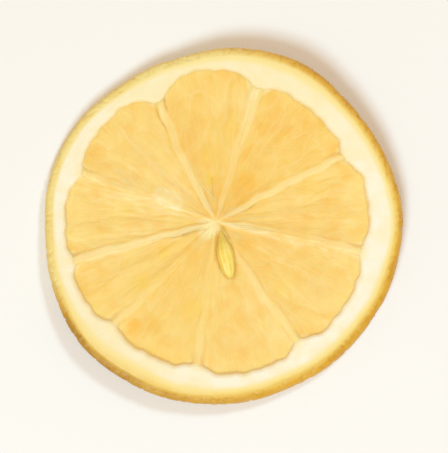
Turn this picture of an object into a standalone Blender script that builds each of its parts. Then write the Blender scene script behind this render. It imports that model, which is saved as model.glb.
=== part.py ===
# Dried lemon slice: one thin, bent wheel of rind, pith, membranes and flesh, with a seed in one segment.
# Metres, +Z up. The slice lies along XY, its origin is under the middle of its outline at the level it rests on.

import math
import random

import bmesh
import bpy
from mathutils import Matrix, Vector

MM = 0.001

# Outline, as a radius about the core. Each wave is (lobes, height, bearing in degrees).
RIM_RADIUS = 26.05 * MM
RIM_WAVES = (
    (1, 1.20 * MM, -43),  # the core sits off the middle of the slice
    (2, 0.30 * MM, 34),  # slightly oval
    (3, 0.11 * MM, -10),
    (4, 0.22 * MM, -22),
    (5, 0.19 * MM, 3),
    (7, 0.08 * MM, 9),
    (13, 0.05 * MM, 30),
)

# Thickness and the rounded outer edge
HALF_THICKNESS = 1.5 * MM
WEDGE = 0.2 * MM  # the slice is thicker by this much on one side, and thinner on the other
WEDGE_BEARING = -45
EDGE_ROLL = 1.2 * MM  # how far in the rounded edge reaches
EDGE_SQUARENESS = 0.66  # 1 is a plain ellipse, less is fuller
WALL_LEAN = 0.35 * MM  # the cut is a little off square, so one side shows more wall from above
WALL_LEAN_BEARING = -45

# Septa, counter-clockwise, each as (bearing in degrees, how far the pith reaches in along it,
# width of the segments' rounded corners beside it, sideways sway at half its length)
SEPTA = (
    (26.8, 1.5 * MM, 4.4 * MM, 0.30 * MM),
    (72.4, 1.9 * MM, 5.2 * MM, 0.25 * MM),
    (113.4, 3.2 * MM, 6.4 * MM, 0.80 * MM),
    (160.2, 1.5 * MM, 4.0 * MM, -0.15 * MM),
    (195.0, 1.0 * MM, 3.2 * MM, 0.00 * MM),
    (224.4, 1.4 * MM, 4.0 * MM, 0.45 * MM),
    (262.4, 1.5 * MM, 4.6 * MM, 0.00 * MM),
    (305.6, 1.8 * MM, 4.8 * MM, -0.55 * MM),
    (347.8, 1.3 * MM, 4.2 * MM, 0.55 * MM),
)
SEPTUM_HALF_WIDTH = 0.30 * MM
SEPTUM_FLARE = 0.35 * MM  # extra half width at the pith
SEPTUM_FOOT = 0.35 * MM  # run of the slope from crest to flesh
SEPTUM_ROUNDING = 0.07 * MM  # how far a crest's edges lie below its middle
SEPTUM_SINK_CORE = 0.42 * MM  # crest below the pith, near the core
SEPTUM_SINK_RIM = 0.20 * MM  # and at the pith
CORE_RADIUS = 1.5 * MM
CORE_SINK = 0.30 * MM

# Outer radius of the flesh in the segment that follows each septum
SEGMENT_REACH_MM = (21.5, 22.35, 21.8, 22.1, 22.3, 21.75, 22.4, 22.45, 22.45)
REACH_EASING = 0.3  # share of a segment over which its reach joins its neighbour's
FLESH_START = 2.4 * MM  # radius at which the flesh begins

# Flesh: how far its faces lie below the pith
TOP_SINK = 0.68 * MM
UNDER_SINK = 0.55 * MM
SINK_SPREAD = 0.10 * MM  # difference from one segment to the next
HOLLOWING = 0.28  # share of the sink that is there only in mid segment
EDGE_GROOVE = 0.14 * MM  # the flesh has shrunk away from the pith
WRINKLE = 0.073 * MM  # each of a segment's wrinkles, which run from the core to the pith
WRINKLES = 3
WRINKLES_ACROSS = (1.0, 3.2)
WRINKLE_FADE = 0.45  # share of the way out from the core at which they are fully there
WRINKLE_DRIFT = 3.0
DIMPLE = 0.05 * MM  # slower unevenness along a segment

# Pith
PITH_CROWN = 0.10 * MM  # rounding of the pith's upper face
CROWN_LOBES = (5, 15)
PITH_SHOULDER = 0.45 * MM
SHOULDER_SHARE = 0.4  # the shoulder takes at most this share of the pith's width
INNER_EDGE_SINK = 0.18 * MM

# A second seed shows only as a swelling under the flesh.
SWELLING_CENTRE = Vector((-7.0 * MM, 3.4 * MM))
SWELLING_HALF_LENGTH = 3.4 * MM
SWELLING_HALF_WIDTH = 2.0 * MM
SWELLING_HEIGHT = 0.36 * MM
SWELLING_BEARING = 154

# Seed, point towards the core, half sunk in the flesh
SEED_CENTRE = (1.4 * MM, -4.7 * MM)
SEED_LENGTH = 7.2 * MM
SEED_WIDTH = 2.4 * MM
SEED_HEIGHT = 1.9 * MM
SEED_TAPER = 0.45  # how much narrower it is at its point than a plain egg
SEED_BEARING = -78
SEED_LEVEL = 0.95 * MM  # height of its axis above the slice's middle

# Bend: the slice rests along a band, and its two sides lift across it.
LIFT_BEARING = 55
FLAT_HALF_WIDTH = 8.0 * MM
LIFT_FAR = 2.2 * MM
LIFT_NEAR = 1.4 * MM
LIFT_POWER = 1.5
LIFT_TWIST = 0.25  # share by which a side lifts more at one end

# Divisions
FLESH_COLUMNS = 8
COLUMN_CROWDING = 0.11  # draws the columns towards the septa, where the corners are rounded
FLESH_ROWS = 9
EDGE_STEPS = (90, 66, 34, 0, -34, -66, -90)
SEED_ROUND = 16
SEED_ALONG = 12

TOP_DRAW = 41
UNDER_DRAW = 42
COLOUR = (0.90, 0.62, 0.20)
ROUGHNESS = 0.45


def smooth(amount):
    amount = min(max(amount, 0.0), 1.0)
    return amount * amount * (3 - 2 * amount)


def blend(start, end, amount):
    return start + (end - start) * amount


def along_bearing(spot, degrees):
    bearing = math.radians(degrees)
    return spot.x * math.cos(bearing) + spot.y * math.sin(bearing)


def point(radius, angle, height):
    return Vector((radius * math.cos(angle), radius * math.sin(angle), height))


# Plan of the wheel


def rim_radius(angle):
    radius = RIM_RADIUS
    for lobes, height, bearing in RIM_WAVES:
        radius += height * math.cos(lobes * (angle - math.radians(bearing)))
    return radius


def septum_angle(index, radius):
    # Bearing of a septum at a radius. The last septum is followed by the first, one turn on.
    turns, place = divmod(index, len(SEPTA))
    bearing, _, _, sway = SEPTA[place]
    shift = sway * math.sin(math.pi * radius / RIM_RADIUS) / max(radius, CORE_RADIUS)
    return math.radians(bearing) + math.tau * turns + shift


def segment_span(segment, radius):
    start = septum_angle(segment, radius)
    return start, septum_angle(segment + 1, radius) - start


def flesh_radius(segment, across):
    # Outer radius of the flesh in a segment; across runs from 0 to 1 between its septa.
    beside, septum = (segment - 1, segment) if across < 0.5 else (segment + 1, segment + 1)
    own = SEGMENT_REACH_MM[segment] * MM
    shared = (own + SEGMENT_REACH_MM[beside % len(SEPTA)] * MM) / 2
    inwards = min(across, 1 - across)
    reach = blend(shared, own, smooth(inwards / REACH_EASING))
    _, span = segment_span(segment, own)
    _, depth, corner_width, _ = SEPTA[septum % len(SEPTA)]
    from_septum = min(inwards * span * own / corner_width, 1)
    return reach - depth * (1 - from_septum) ** 2


def column_places(segment, radius):
    # Places across a segment, from its first septum up to just short of the next one.
    _, span = segment_span(segment, radius)
    width = span * radius
    crest = min(SEPTUM_HALF_WIDTH + SEPTUM_FLARE * smooth(radius / RIM_RADIUS), width / 6) / width
    foot = crest + min(SEPTUM_FOOT, width / 7) / width
    inner = []
    for step in range(1, FLESH_COLUMNS + 1):
        part = step / (FLESH_COLUMNS + 1)
        part -= COLUMN_CROWDING * math.sin(math.tau * part)
        inner.append(blend(foot, 1 - foot, part))
    return [0.0, crest, foot, *inner, 1 - foot, 1 - crest]


def columns(reach):
    # Every column round the wheel, where reach(segment, across) gives the radius.
    for segment in range(len(SEPTA)):
        for column, across in enumerate(column_places(segment, reach(segment, 0.5))):
            radius = reach(segment, across)
            start, span = segment_span(segment, radius)
            yield segment, column, across, radius, start + span * across


# Relief of the two cut faces


class Face:
    # How far each point of one cut face lies below the pith.
    def __init__(self, sink, draw_seed, swollen):
        draw = random.Random(draw_seed)
        self.swollen = swollen
        self.sinks = [sink + draw.uniform(-SINK_SPREAD, SINK_SPREAD) for _ in SEPTA]
        self.wrinkles = [[self.wrinkle(draw) for _ in range(WRINKLES)] for _ in SEPTA]
        self.crown = [(draw.randint(*CROWN_LOBES), draw.uniform(0, math.tau)) for _ in range(4)]

    @staticmethod
    def wrinkle(draw):
        turns = draw.uniform(*WRINKLES_ACROSS)
        phase = draw.uniform(0, math.tau)
        drift = draw.uniform(-WRINKLE_DRIFT, WRINKLE_DRIFT)
        return turns, phase, drift

    def flesh(self, segment, across, along, spot):
        # A shallow hollow between the septa, wrinkled along the juice sacs.
        sink = self.sinks[segment] * (1 - HOLLOWING * (1 - math.sin(math.pi * across)))
        shown = smooth(along / WRINKLE_FADE)
        for turns, phase, drift in self.wrinkles[segment]:
            sink += WRINKLE * shown * math.sin(math.tau * turns * across + phase + drift * along)
            sink += DIMPLE * math.sin(WRINKLE_DRIFT * turns * along + 2 * phase)
        if self.swollen:
            sink -= SWELLING_HEIGHT * swelling(spot)
        return sink

    def pith(self, angle):
        uneven = sum(math.sin(lobes * angle + phase) for lobes, phase in self.crown)
        return PITH_CROWN * (1 + uneven / len(self.crown)) / 4


def swelling(spot):
    offset = spot.xy - SWELLING_CENTRE
    offset.rotate(Matrix.Rotation(-math.radians(SWELLING_BEARING), 2))
    reach = math.hypot(offset.x / SWELLING_HALF_LENGTH, offset.y / SWELLING_HALF_WIDTH)
    return smooth(1 - reach)


def septum_sink(radius):
    return blend(SEPTUM_SINK_CORE, SEPTUM_SINK_RIM, smooth(radius / RIM_RADIUS))


# Rings of a face hold (point in the plane, how far it is sunk) pairs.


def core_ring(radius):
    return [(point(radius, angle, 0), CORE_SINK) for *_, angle in columns(lambda *_: radius)]


def flesh_ring(face, along):
    # along is 0 at the core and 1 at the foot of the pith.
    def reach(segment, across):
        return blend(FLESH_START, flesh_radius(segment, across) - SEPTUM_FOOT, along)

    ring = []
    last = FLESH_COLUMNS + 4
    for segment, column, across, radius, angle in columns(reach):
        spot = point(radius, angle, 0)
        if column == 0:
            sink = septum_sink(radius)
        elif column in (1, last):
            sink = septum_sink(radius) + SEPTUM_ROUNDING
        else:
            sink = face.flesh(segment, across, along, spot)
            sink += EDGE_GROOVE * (along == 1)
        ring.append((spot, sink))
    return ring


def pith_rings(face):
    # From the edge of the flesh, over the pith's shoulder, to where the rind rolls off.
    edge, shoulder, crown = [], [], []
    for *_, radius, angle in columns(flesh_radius):
        outer = rim_radius(angle) - EDGE_ROLL
        rise = min(radius + PITH_SHOULDER, blend(radius, outer, SHOULDER_SHARE))
        edge.append((point(radius, angle, 0), INNER_EDGE_SINK))
        shoulder.append((point(rise, angle, 0), face.pith(angle)))
        crown.append((point((rise + outer) / 2, angle, 0), 0.0))
    return [edge, shoulder, crown]


def face_rings(face):
    rings = [core_ring(CORE_RADIUS / 2), core_ring(CORE_RADIUS)]
    for row in range(FLESH_ROWS):
        rings.append(flesh_ring(face, row / (FLESH_ROWS - 1)))
    return rings + pith_rings(face)


def wall_ring(degrees_up):
    # One ring of the rounded, slightly leaning outer wall.
    up = math.radians(degrees_up)
    inset = EDGE_ROLL * (1 - math.cos(up) ** EDGE_SQUARENESS)
    share = math.copysign(abs(math.sin(up)) ** EDGE_SQUARENESS, up)
    ring = []
    for *_, angle in columns(flesh_radius):
        lean = WALL_LEAN * max(0.0, math.cos(angle - math.radians(WALL_LEAN_BEARING)))
        radius = rim_radius(angle) - inset - lean * (1 + share) / 2
        ring.append(point(radius, angle, share * HALF_THICKNESS))
    return ring


def raise_ring(ring, side):
    # A face's ring at its height: side is 1 for the upper face and -1 for the lower one.
    return [Vector((spot.x, spot.y, side * (HALF_THICKNESS - sink))) for spot, sink in ring]


def slice_rings():
    # All rings in order: over the top face from the core, down the wall and back under to the core.
    top = face_rings(Face(TOP_SINK, TOP_DRAW, True))
    under = face_rings(Face(UNDER_SINK, UNDER_DRAW, False))
    # The pith's underside is flat, so that the slice lies on it.
    under[-2] = [(spot, 0.0) for spot, _ in under[-2]]
    rings = [raise_ring(ring, 1) for ring in top]
    rings += [wall_ring(degrees_up) for degrees_up in EDGE_STEPS]
    rings += [raise_ring(ring, -1) for ring in reversed(under)]
    return rings


def bend(spot):
    # Thickens one side, then lifts the two sides beyond the band that the slice rests on.
    share = (spot.z + HALF_THICKNESS) / (2 * HALF_THICKNESS)
    spot.z += WEDGE * share * along_bearing(spot, WEDGE_BEARING) / RIM_RADIUS
    across = along_bearing(spot, LIFT_BEARING)
    beyond = abs(across) - FLAT_HALF_WIDTH
    if beyond > 0:
        height = LIFT_FAR if across > 0 else LIFT_NEAR
        height *= 1 + LIFT_TWIST * along_bearing(spot, LIFT_BEARING + 90) / RIM_RADIUS
        spot.z += height * (beyond / (RIM_RADIUS - FLAT_HALF_WIDTH)) ** LIFT_POWER


# Objects


def make_material(name, colour, roughness):
    material = bpy.data.materials.new(name)
    material.use_nodes = True
    shader = material.node_tree.nodes["Principled BSDF"]
    shader.inputs["Base Color"].default_value = (*colour, 1.0)
    shader.inputs["Roughness"].default_value = roughness
    shader.inputs["Metallic"].default_value = 0.0
    material.diffuse_color = (*colour, 1.0)
    return material


def add_object(name, body, material, collection):
    mesh = bpy.data.meshes.new(name)
    bmesh.ops.recalc_face_normals(body, faces=body.faces)
    body.to_mesh(mesh)
    body.free()
    mesh.materials.append(material)
    mesh.shade_smooth()
    mesh.set_sharp_from_angle(angle=math.radians(40))
    item = bpy.data.objects.new(name, mesh)
    collection.objects.link(item)
    return item


def make_wheel(material):
    body = bmesh.new()
    rows = []
    for ring in slice_rings():
        for spot in ring:
            bend(spot)
        rows.append([body.verts.new(spot) for spot in ring])
    for row, following in zip(rows, rows[1:]):
        for place in range(len(row)):
            beside = (place + 1) % len(row)
            body.faces.new((row[place], following[place], following[beside], row[beside]))
    for row, side in ((rows[0], 1), (rows[-1], -1)):
        pole = body.verts.new((0, 0, side * (HALF_THICKNESS - CORE_SINK)))
        for place in range(len(row)):
            body.faces.new((pole, row[place], row[(place + 1) % len(row)]))
    return add_object("lemon_slice", body, material, bpy.context.scene.collection)


def make_seed(material, collection):
    # A slim drop with its point towards the core.
    body = bmesh.new()
    bmesh.ops.create_uvsphere(body, u_segments=SEED_ROUND, v_segments=SEED_ALONG, radius=1.0)
    for vert in body.verts:
        width = 1 - SEED_TAPER * smooth(vert.co.z)
        vert.co.x *= width * SEED_HEIGHT / 2
        vert.co.y *= width * SEED_WIDTH / 2
        vert.co.z *= SEED_LENGTH / 2
    lie_down = Matrix.Rotation(math.radians(-90), 4, "Y")
    turn = Matrix.Rotation(math.radians(SEED_BEARING), 4, "Z")
    bmesh.ops.transform(body, matrix=turn @ lie_down, verts=body.verts)
    bmesh.ops.translate(body, vec=(*SEED_CENTRE, SEED_LEVEL), verts=body.verts)
    return add_object("seed", body, material, collection)


def join_seeds(wheel, seeds):
    union = wheel.modifiers.new("Seeds", "BOOLEAN")
    union.operation = "UNION"
    union.operand_type = "COLLECTION"
    union.collection = seeds
    union.solver = "EXACT"
    bpy.context.view_layer.objects.active = wheel
    bpy.ops.object.modifier_apply(modifier=union.name)
    for item in list(seeds.objects):
        bpy.data.objects.remove(item)
    bpy.data.collections.remove(seeds)


def move_to_origin(item):
    # The origin goes under the middle of the slice's box.
    corners = [vert.co for vert in item.data.vertices]
    low = Vector([min(corner[axis] for corner in corners) for axis in range(3)])
    high = Vector([max(corner[axis] for corner in corners) for axis in range(3)])
    middle = (low + high) / 2
    item.data.transform(Matrix.Translation((-middle.x, -middle.y, -low.z)))


def main():
    for item in list(bpy.data.objects):
        bpy.data.objects.remove(item)
    lemon = make_material("dried_lemon", COLOUR, ROUGHNESS)
    wheel = make_wheel(lemon)
    seeds = bpy.data.collections.new("seeds")
    bpy.context.scene.collection.children.link(seeds)
    make_seed(lemon, seeds)
    join_seeds(wheel, seeds)
    move_to_origin(wheel)


main()
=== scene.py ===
import math
import random

import bpy
import numpy as np
from mathutils import Matrix, Vector
from mathutils.bvhtree import BVHTree


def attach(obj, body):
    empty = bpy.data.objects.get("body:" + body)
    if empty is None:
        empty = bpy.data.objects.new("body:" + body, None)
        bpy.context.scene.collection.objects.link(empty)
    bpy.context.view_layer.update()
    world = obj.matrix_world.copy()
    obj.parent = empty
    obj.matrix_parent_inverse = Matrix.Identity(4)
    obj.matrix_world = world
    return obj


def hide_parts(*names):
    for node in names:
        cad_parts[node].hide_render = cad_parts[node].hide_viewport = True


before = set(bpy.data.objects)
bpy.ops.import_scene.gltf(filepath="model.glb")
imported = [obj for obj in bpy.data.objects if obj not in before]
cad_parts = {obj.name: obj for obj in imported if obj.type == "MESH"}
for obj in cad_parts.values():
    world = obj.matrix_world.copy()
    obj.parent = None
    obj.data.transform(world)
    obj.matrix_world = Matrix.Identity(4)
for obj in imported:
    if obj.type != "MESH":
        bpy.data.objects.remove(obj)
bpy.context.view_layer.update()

mm = 0.001
solid = "lemon_slice"
print("frame loaded")

# Form of the slice, as its solid has it.
# Radii are about the core, and bearings are in degrees counter-clockwise from +X.
form = {
    "rimRadius": 26.05 * mm,
    "rimWaves": (  # lobes, height, bearing
        (1, 1.20 * mm, -43),
        (2, 0.30 * mm, 34),
        (3, 0.11 * mm, -10),
        (4, 0.22 * mm, -22),
        (5, 0.19 * mm, 3),
        (7, 0.08 * mm, 9),
        (13, 0.05 * mm, 30),
    ),
    "halfThickness": 1.5 * mm,
    "wedge": 0.2 * mm,  # thicker on one side
    "edgeRoll": 1.2 * mm,  # how far in the rounded edge reaches
    "edgeSquareness": 0.66,
    "wallLean": 0.35 * mm,
    "leanBearing": -45,  # of the lean and of the wedge
    "liftBearing": 55,  # the two sides that lift off the table
    "flatHalfWidth": 8.0 * mm,
    "liftFar": 2.2 * mm,
    "liftNear": 1.4 * mm,
    "liftPower": 1.5,
    "liftTwist": 0.25,
    "outlinePoints": 1440,  # at which its middle is worked out
}
septa = (  # bearing, how far the pith reaches in along it, width of the rounded corners beside it, sway
    (26.8, 1.5 * mm, 4.4 * mm, 0.30 * mm),
    (72.4, 1.9 * mm, 5.2 * mm, 0.25 * mm),
    (113.4, 3.2 * mm, 6.4 * mm, 0.80 * mm),
    (160.2, 1.5 * mm, 4.0 * mm, -0.15 * mm),
    (195.0, 1.0 * mm, 3.2 * mm, 0.00 * mm),
    (224.4, 1.4 * mm, 4.0 * mm, 0.45 * mm),
    (262.4, 1.5 * mm, 4.6 * mm, 0.00 * mm),
    (305.6, 1.8 * mm, 4.8 * mm, -0.55 * mm),
    (347.8, 1.3 * mm, 4.2 * mm, 0.55 * mm),
)
count = len(septa)
septumDegrees, septumDepth, septumCorner, septumSway = np.array(septa).T
septumBearing = np.radians(septumDegrees)


def smooth(amount):
    amount = np.clip(amount, 0.0, 1.0)
    return amount * amount * (3 - 2 * amount)


def blend(start, end, amount):
    return start + (end - start) * amount


def alongBearing(x, y, degrees):
    bearing = math.radians(degrees)
    return x * math.cos(bearing) + y * math.sin(bearing)


def turned(x, y, centre, degrees):
    # coordinates about a centre, lengthways and sideways of a bearing
    x, y = x - centre[0], y - centre[1]
    return alongBearing(x, y, degrees), alongBearing(x, y, degrees + 90)


def outlineRadius(angle):
    radius = form["rimRadius"] + 0 * angle
    for lobes, height, bearing in form["rimWaves"]:
        radius = radius + height * np.cos(lobes * (angle - math.radians(bearing)))
    return radius


def wallLean(angle, level):
    # the cut is a little off square; level runs from -1 below to 1 above
    lean = form["wallLean"] * np.maximum(0, np.cos(angle - math.radians(form["leanBearing"])))
    return lean * (1 + level) / 2


def septumAngle(index, radius):
    turns, which = np.divmod(index, count)
    swing = np.sin(np.pi * radius / form["rimRadius"]) / np.maximum(radius, core["radius"])
    return septumBearing[which] + math.tau * turns + septumSway[which] * swing


def segmentSpan(segment, radius):
    start = septumAngle(segment, radius)
    return start, septumAngle(segment + 1, radius) - start


def place(x, y, z):
    # bends points of the flat slice and moves them into the frame
    half = form["halfThickness"]
    share = (z + half) / (2 * half)
    z = z + form["wedge"] * share * alongBearing(x, y, form["leanBearing"]) / form["rimRadius"]
    across, sideways = turned(x, y, (0, 0), form["liftBearing"])
    beyond = np.maximum(np.abs(across) - form["flatHalfWidth"], 0)
    height = np.where(across > 0, form["liftFar"], form["liftNear"])
    height = height * (1 + form["liftTwist"] * sideways / form["rimRadius"])
    z = z + height * (beyond / (form["rimRadius"] - form["flatHalfWidth"])) ** form["liftPower"]
    return np.stack([x + coreSpot[0], y + coreSpot[1], z + half], axis=-1)


def findCore():
    # the frame's origin is under the middle of the outline, and this is where the core then lies
    angle = np.linspace(0, math.tau, form["outlinePoints"], endpoint=False)
    reach = outlineRadius(angle) - wallLean(angle, 0)
    x, y = reach * np.cos(angle), reach * np.sin(angle)
    return -(x.min() + x.max()) / 2, -(y.min() + y.max()) / 2


# Relief of the two cut faces

core = {
    "radius": 1.5 * mm,
    "sink": 0.30 * mm,
    "edge": (0.7 * mm, 2.5 * mm),  # where it passes into membranes and flesh
    "patch": (-0.9 * mm, -0.9 * mm),  # middle of its pale patch
}
flesh = {
    "reach": (21.5, 22.35, 21.8, 22.1, 22.3, 21.75, 22.4, 22.45, 22.45),  # mm, by segment
    "easing": 0.3,  # share of a segment in which its reach passes to the next one's
    "cornerBlunting": 0.35 * mm,
    "start": 2.4 * mm,  # of its wrinkles, and how far inside the pith they end
    "end": 0.35 * mm,
    "topSink": 0.68 * mm,
    "underSink": 0.55 * mm,
    "sinkSpread": 0.10 * mm,
    "hollowing": 0.28,
    "edgeGroove": 0.14 * mm,
    "grooveFrom": 0.86,  # share of the way out from the core
    "wrinkle": 0.055 * mm,
    "wrinkles": 3,
    "wrinklesAcross": (1.0, 3.2),
    "wrinkleFade": 0.45,  # share of the way out from the core at which they are fully there
    "drift": 3.0,
    "dimple": 0.05 * mm,
    "tuckSink": 0.35 * mm,  # how it dips under the pith, and over what length
    "tuckRun": 0.5 * mm,
    "drawSeeds": (41, 42),  # of the upper and the lower face
}
membrane = {
    "sinkAtCore": 0.42 * mm,
    "sinkAtRim": 0.20 * mm,
    "slope": 0.75 * mm,  # run from the crest down to the flesh
    "slopesAcross": 3.6,  # at least so many would fit across a segment
    "crest": 0.45,  # share of the half width that is level
    "wander": 0.085 * mm,  # sideways unevenness of a crest
    "wanderRun": 4 * mm,  # length out from the core over which it comes in
    "crestUnevenness": 0.05 * mm,
    "waves": 2,  # of each of the two
    "waveLengths": (2.5, 9.0),  # of both, in mm
    "faintRise": 0.05 * mm,  # of the faintest crest over the flesh
    "faintShare": 0.30,  # how much of a clear crest's height a faint one has
    "junction": 2.4 * mm,  # length over which a crest climbs to the pith
    "junctionSink": 0.13 * mm,
    "lookRadii": (2.5 * mm, 10 * mm, 20 * mm),
    "halvesAcross": 6,  # at least so many half widths would fit across a segment
    "looks": (  # how clearly each shows, then its half width in mm, at those radii
        ((0.60, 0.62, 0.55), (0.30, 0.46, 0.50)),
        ((0.40, 0.28, 0.80), (0.34, 0.44, 1.00)),
        ((0.70, 0.48, 0.45), (0.32, 0.42, 0.60)),
        ((0.12, 0.16, 0.40), (0.26, 0.30, 0.45)),
        ((0.85, 0.72, 0.70), (0.32, 0.40, 0.66)),
        ((0.10, 0.14, 0.50), (0.20, 0.30, 0.60)),
        ((0.16, 0.06, 0.50), (0.26, 0.30, 0.70)),
        ((0.16, 0.52, 0.42), (0.26, 0.40, 0.46)),
        ((0.85, 0.08, 0.58), (0.50, 0.24, 0.50)),
    ),
}
pith = {
    "crown": 0.10 * mm,
    "crownMean": 0.25,  # share of that by which it sinks on average
    "crownLobes": (5, 15),
    "crownWaves": 4,
    "shoulder": 0.45 * mm,
    "shoulderShare": 0.4,
    "innerEdgeSink": 0.18 * mm,
    "raggedness": 0.07 * mm,  # of its inner edge
    "raggedWaves": ((23, 1.0, 1.0), (41, 2.2, 1.0), (67, 0.0, 0.7)),  # lobes, phase, strength
    "raggedFrom": 0.125,  # share of a segment in which they come in beside a membrane
    "yellowed": ((108, 40, 0.9), (224, 32, 0.8), (54, 28, 0.75)),  # bearing, spread, strength
}
peelBands = (  # bearing, depth of the yellow peel in mm, how pale its skin is, which is painted light on the side the light falls on, and how brown, which is painted shade on the side away from it
    (0, 2.0, 0.10, 0.10),
    (40, 2.3, 0.00, 0.15),
    (60, 2.8, 0.00, 0.20),
    (80, 2.4, 0.50, 0.00),
    (100, 2.0, 1.00, 0.00),
    (120, 1.8, 1.00, 0.00),
    (145, 1.5, 0.95, 0.00),
    (180, 1.6, 1.00, 0.00),
    (200, 2.0, 0.85, 0.10),
    (211, 2.5, 0.20, 0.75),
    (222, 3.0, 0.00, 1.00),
    (240, 3.6, 0.00, 0.80),
    (258, 2.8, 0.00, 0.40),
    (300, 2.5, 0.00, 0.00),
    (320, 2.5, 0.00, 0.10),
    (340, 2.3, 0.00, 0.10),
)
hiddenSeed = {  # a second seed, only seen as a pale swelling under the flesh
    "centre": (-7.0 * mm, 3.4 * mm),
    "halfLength": 3.4 * mm,
    "halfWidth": 2.0 * mm,
    "height": 0.36 * mm,
    "bearing": 154,
}
seed = {
    "centre": (1.4 * mm, -4.7 * mm),
    "length": 7.2 * mm,
    "width": 2.4 * mm,
    "height": 1.9 * mm,
    "taper": 0.45,
    "bearing": -78,
    "level": 0.95 * mm,  # height of its axis above the slice's middle
    "ribs": 9,
    "ribDepth": 0.035,
    "twist": 0.7,
    "unevenness": 0.16,
    "lumpScale": 2.2,
    "meridians": 128,
    "rings": 72,
    "pocketWidth": 0.32 * mm,  # the groove that the flesh leaves round it
    "pocketDepth": 0.13 * mm,
}
reachOf = np.array(flesh["reach"]) * mm
coreSpot = findCore()


def drawFace(sink, drawSeed, side):
    # one cut face's relief, drawn in the same order as the solid's
    draw = random.Random(drawSeed)
    spread = flesh["sinkSpread"]
    sinks = [sink + draw.uniform(-spread, spread) for _ in septa]
    wrinkles = []
    for _ in septa:
        own = []
        for _ in range(flesh["wrinkles"]):
            turns = draw.uniform(*flesh["wrinklesAcross"])
            phase = draw.uniform(0, math.tau)
            own.append((turns, phase, draw.uniform(-flesh["drift"], flesh["drift"])))
        wrinkles.append(own)
    crownWaves, crestWaves = range(pith["crownWaves"]), range(2 * membrane["waves"])
    crown = [(draw.randint(*pith["crownLobes"]), draw.uniform(0, math.tau)) for _ in crownWaves]
    lengths = membrane["waveLengths"]
    crests = [[(draw.uniform(*lengths), draw.uniform(0, math.tau)) for _ in crestWaves] for _ in septa]
    return {
        "side": side,
        "sinks": np.array(sinks),
        "wrinkles": np.array(wrinkles),
        "crown": crown,
        "crests": np.array(crests),
    }


topFace = drawFace(flesh["topSink"], flesh["drawSeeds"][0], 1)
underFace = drawFace(flesh["underSink"], flesh["drawSeeds"][1], -1)


def fleshReach(segment, across):
    # outer radius of a segment's flesh; across runs from 0 to 1 between its septa
    own = reachOf[segment]
    first = across < 0.5
    beside = np.where(first, segment - 1, segment + 1) % count
    inwards = np.minimum(across, 1 - across)
    reach = blend((own + reachOf[beside]) / 2, own, smooth(inwards / flesh["easing"]))
    start, span = segmentSpan(segment, own)
    septum = np.where(first, segment, segment + 1) % count
    fromCorner = np.hypot(inwards * span * own, flesh["cornerBlunting"])
    corner = (1 - np.minimum(fromCorner / septumCorner[septum], 1)) ** 2
    angle = start + span * across
    ragged = sum(strength * np.sin(lobes * angle + phase) for lobes, phase, strength in pith["raggedWaves"])
    ragged = ragged * smooth(inwards / pith["raggedFrom"])
    return reach - septumDepth[septum] * corner + pith["raggedness"] * ragged


def byRadius(table, which, radius):
    # a value that each septum has at three radii, read for many points
    values = np.zeros(radius.shape)
    for number, row in enumerate(table):
        own = which == number
        values[own] = np.interp(radius[own], membrane["lookRadii"], row)
    return values


def onFace(face, segment, across, radius):
    # everything that the relief and the colours need to know about points of a cut face
    start, span = segmentSpan(segment, radius)
    angle = start + span * across
    width = span * radius
    x, y = radius * np.cos(angle), radius * np.sin(angle)
    first = across < 0.5
    septum = np.where(first, segment, segment + 1) % count + np.zeros(radius.shape, int)
    lengths, phases = face["crests"][..., 0][septum], face["crests"][..., 1][septum]
    waves = np.sin(math.tau * radius[..., None] / (lengths * mm) + phases)
    free = smooth((radius - core["radius"]) / membrane["wanderRun"])
    fromCrest = np.where(first, across, across - 1) * width
    fromCrest = fromCrest + membrane["wander"] * free * waves[..., :membrane["waves"]].sum(-1)
    reach = fleshReach(segment, across) + 0 * radius
    half = byRadius([widths for _, widths in membrane["looks"]], septum, radius) * mm
    return {
        "face": face,
        "segment": segment,
        "across": across,
        "radius": radius,
        "angle": angle,
        "width": width,
        "x": x,
        "y": y,
        "fromCrest": fromCrest,
        "reach": reach,
        "along": (radius - flesh["start"]) / (reach - flesh["end"] - flesh["start"]),
        "clear": byRadius([strengths for strengths, _ in membrane["looks"]], septum, radius),
        "half": np.minimum(half, width / membrane["halvesAcross"]),
        "waves": waves[..., membrane["waves"]:].mean(-1),
    }


def hiddenSeedAt(x, y):
    lengthways, sideways = turned(x, y, hiddenSeed["centre"], hiddenSeed["bearing"])
    return smooth(1 - np.hypot(lengthways / hiddenSeed["halfLength"], sideways / hiddenSeed["halfWidth"]))


def fromSeed(x, y):
    # rough distance in the plan from the seed's outline, negative inside it
    lengthways, sideways = turned(x, y, seed["centre"], seed["bearing"])
    narrow = 1 - seed["taper"] * smooth(-lengthways / (seed["length"] / 2))
    away = np.hypot(lengthways / (seed["length"] / 2), sideways / (seed["width"] / 2 * narrow))
    return (away - 1) * seed["width"] / 2


def fleshSink(at):
    # how far the flesh lies below the pith
    face, across, along = at["face"], at["across"], at["along"]
    sink = face["sinks"][at["segment"]] * (1 - flesh["hollowing"] * (1 - np.sin(np.pi * across)))
    shown = flesh["wrinkle"] * smooth(along / flesh["wrinkleFade"])
    for turns, phase, drift in np.moveaxis(face["wrinkles"], 0, -1):
        turns, phase, drift = turns[at["segment"]], phase[at["segment"]], drift[at["segment"]]
        sink = sink + shown * np.sin(math.tau * turns * across + phase + drift * along)
        sink = sink + flesh["dimple"] * np.sin(flesh["drift"] * turns * along + 2 * phase)
    if face["side"] > 0:
        sink = sink - hiddenSeed["height"] * hiddenSeedAt(at["x"], at["y"])
        gap = fromSeed(at["x"], at["y"]) / seed["pocketWidth"]
        sink = sink + seed["pocketDepth"] * np.exp(-gap ** 2)
    return sink + flesh["edgeGroove"] * smooth((along - flesh["grooveFrom"]) / (1 - flesh["grooveFrom"]))


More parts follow.
